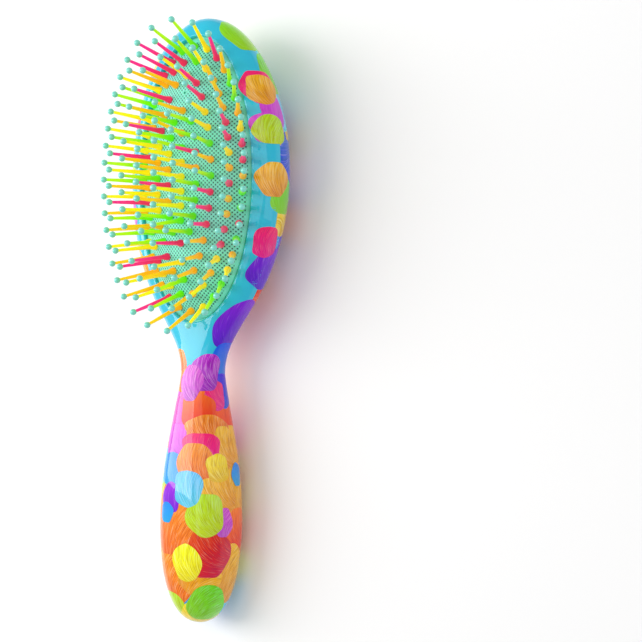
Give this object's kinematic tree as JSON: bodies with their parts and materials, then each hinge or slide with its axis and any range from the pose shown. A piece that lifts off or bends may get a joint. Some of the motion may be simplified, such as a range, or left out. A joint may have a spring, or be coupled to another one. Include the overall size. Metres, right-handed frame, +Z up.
{
  "type": "cushion hairbrush",
  "caption": "Oval air-cushion hairbrush with a painted two-shell body, a domed rubber pad and ball-tipped plastic pins.",
  "frame": {"origin": "on the resting surface, under the middle of the brush's bounding box", "axes": "+Z up out of the pad, +Y from the handle towards the head tip, +X across the brush; the brush lies on its back"},
  "size_m": [0.0726, 0.2396, 0.0569],
  "materials": {
    "front_lacquer": "clear lacquer over aqua and painted dabs",
    "back_lacquer": "clear lacquer over painted dabs",
    "pad_rubber": "moulded fine mesh, satin",
    "pin_yellow": "satin moulded",
    "pin_orange": "satin moulded",
    "pin_green": "satin moulded",
    "pin_magenta": "satin moulded",
    "ball_tip": "pearly dipped ball"
  },
  "bodies": {
    "root": {"front_shell": "front_lacquer", "rear_shell": "back_lacquer", "cushion_pad": "pad_rubber"},
    "core_row": {"core_row_pins_yellow": "pin_yellow", "core_row_pins_orange": "pin_orange", "core_row_pins_green": "pin_green", "core_row_tips": "ball_tip"},
    "first_ring": {"first_ring_pins_yellow": "pin_yellow", "first_ring_pins_orange": "pin_orange", "first_ring_pins_green": "pin_green", "first_ring_pins_magenta": "pin_magenta", "first_ring_tips": "ball_tip"},
    "second_ring": {"second_ring_pins_yellow": "pin_yellow", "second_ring_pins_orange": "pin_orange", "second_ring_pins_green": "pin_green", "second_ring_pins_magenta": "pin_magenta", "second_ring_tips": "ball_tip"},
    "third_ring": {"third_ring_pins_yellow": "pin_yellow", "third_ring_pins_orange": "pin_orange", "third_ring_pins_green": "pin_green", "third_ring_pins_magenta": "pin_magenta", "third_ring_tips": "ball_tip"},
    "outer_ring": {"outer_ring_pins_yellow": "pin_yellow", "outer_ring_pins_orange": "pin_orange", "outer_ring_pins_green": "pin_green", "outer_ring_pins_magenta": "pin_magenta", "outer_ring_tips": "ball_tip"}
  },
  "joints": [
    {"name": "core_row_press", "type": "slide", "parent": "root", "child": "core_row", "axis": [0, 0.0555, -0.9985], "range_m": [0, 0.004], "stiffness_N_per_m": 900, "deforming": ["cushion_pad"]},
    {"name": "first_ring_press", "type": "slide", "parent": "root", "child": "first_ring", "axis": [0, 0.0555, -0.9985], "range_m": [0, 0.00392]},
    {"name": "second_ring_press", "type": "slide", "parent": "root", "child": "second_ring", "axis": [0, 0.0555, -0.9985], "range_m": [0, 0.00334]},
    {"name": "third_ring_press", "type": "slide", "parent": "root", "child": "third_ring", "axis": [0, 0.0555, -0.9985], "range_m": [0, 0.00218]},
    {"name": "outer_ring_press", "type": "slide", "parent": "root", "child": "outer_ring", "axis": [0, 0.0555, -0.9985], "range_m": [0, 0.00098]}
  ],
  "couplings": [
    {"joint": "first_ring_press", "follows": "core_row_press", "ratio": 0.9688},
    {"joint": "second_ring_press", "follows": "core_row_press", "ratio": 0.8232},
    {"joint": "third_ring_press", "follows": "core_row_press", "ratio": 0.5321},
    {"joint": "outer_ring_press", "follows": "core_row_press", "ratio": 0.2316}
  ]
}
